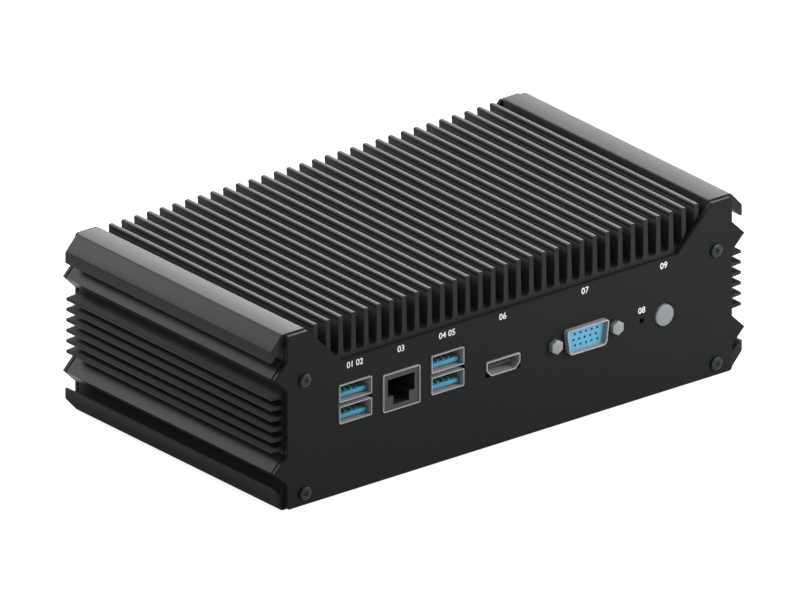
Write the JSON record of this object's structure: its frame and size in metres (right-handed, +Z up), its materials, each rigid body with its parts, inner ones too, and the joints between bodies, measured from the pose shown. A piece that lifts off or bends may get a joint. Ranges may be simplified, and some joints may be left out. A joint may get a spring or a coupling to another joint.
{
  "type": "fanless industrial pc",
  "caption": "Low black computer housing: finned extrusion with hooked side rails, notched end panels, front sockets, a push button and a pin-hole reset.",
  "frame": {"origin": "on the flat underside, at the middle of the housing's width and depth", "axes": "+X across the fins to the power button's side, -Y out of the front panel with the sockets, +Z up through the fins"},
  "size_m": [0.194, 0.1122, 0.0614],
  "materials": {
    "black_anodised": "black anodised, satin",
    "black_panel": "black powder coat, fine satin",
    "black_sheet": "black powder coat",
    "seal_rubber": "matt black",
    "black_screw": "black oxide",
    "plated_shell": "tin plated",
    "blue_insert": "moulded, satin",
    "pale_blue_insert": "moulded, satin",
    "slate_insert": "moulded, matt",
    "black_insert": "moulded, matt",
    "gold_contact": "gold flash",
    "nickel": "nickel plated",
    "grey_button": "satin grey",
    "board_green": "solder mask, semi-gloss",
    "steel_post": "nickel plated",
    "zinc_screw": "zinc plated",
    "chip_black": "moulded package",
    "grey_pad": "soft thermal pad",
    "bare_aluminium": "milled",
    "cell_steel": "stainless",
    "coil_grey": "pressed ferrite"
  },
  "bodies": {
    "housing": {"board_screws": "zinc_screw", "board_spacers": "steel_post", "bottom_cover": "black_sheet", "bottom_cover_screws": "black_screw", "chassis_extrusion": "black_anodised", "coin_cell": "cell_steel", "coin_cell_holder": "black_insert", "console_jack_contacts": "gold_contact", "console_jack_insert": "slate_insert", "console_jack_shell": "plated_shell", "dsub_insulator": "pale_blue_insert", "dsub_jackscrews": "nickel", "dsub_shell": "plated_shell", "front_panel": "black_panel", "front_panel_screws": "black_screw", "front_seal": "seal_rubber", "left_stacked_port_contacts": "gold_contact", "left_stacked_port_insert": "blue_insert", "left_stacked_port_shell": "plated_shell", "mainboard": "board_green", "memory_module": "board_green", "memory_socket": "black_insert", "network_jack_1_contacts": "gold_contact", "network_jack_1_insert": "slate_insert", "network_jack_1_shell": "plated_shell", "network_jack_2_contacts": "gold_contact", "network_jack_2_insert": "slate_insert", "network_jack_2_shell": "plated_shell", "network_jack_3_contacts": "gold_contact", "network_jack_3_insert": "slate_insert", "network_jack_3_shell": "plated_shell", "network_jack_4_contacts": "gold_contact", "network_jack_4_insert": "slate_insert", "network_jack_4_shell": "plated_shell", "power_coils": "coil_grey", "power_switch": "black_insert", "processor": "chip_black", "rear_panel": "black_panel", "rear_panel_screws": "black_screw", "rear_seal": "seal_rubber", "reset_switch": "black_insert", "right_stacked_port_contacts": "gold_contact", "right_stacked_port_insert": "blue_insert", "right_stacked_port_shell": "plated_shell", "storage_module": "board_green", "storage_screw": "zinc_screw", "storage_socket": "black_insert", "storage_standoff": "steel_post", "supply_inlet": "black_insert", "supply_inlet_pin": "nickel", "thermal_block": "bare_aluminium", "thermal_block_screws": "zinc_screw", "thermal_pad": "grey_pad", "video_port_insert": "black_insert", "video_port_shell": "plated_shell"},
    "button": {"power_button": "grey_button", "power_switch_plunger": "black_insert"},
    "reset": {"reset_plunger": "black_insert"}
  },
  "joints": [
    {"name": "power_button_press", "type": "slide", "parent": "housing", "child": "button", "axis": [0, 1, 0], "range_m": [0, 0.0005], "stiffness_N_per_m": 2500},
    {"name": "reset_press", "type": "slide", "parent": "housing", "child": "reset", "axis": [0, 1, 0], "range_m": [0, 0.00025], "stiffness_N_per_m": 5000}
  ]
}
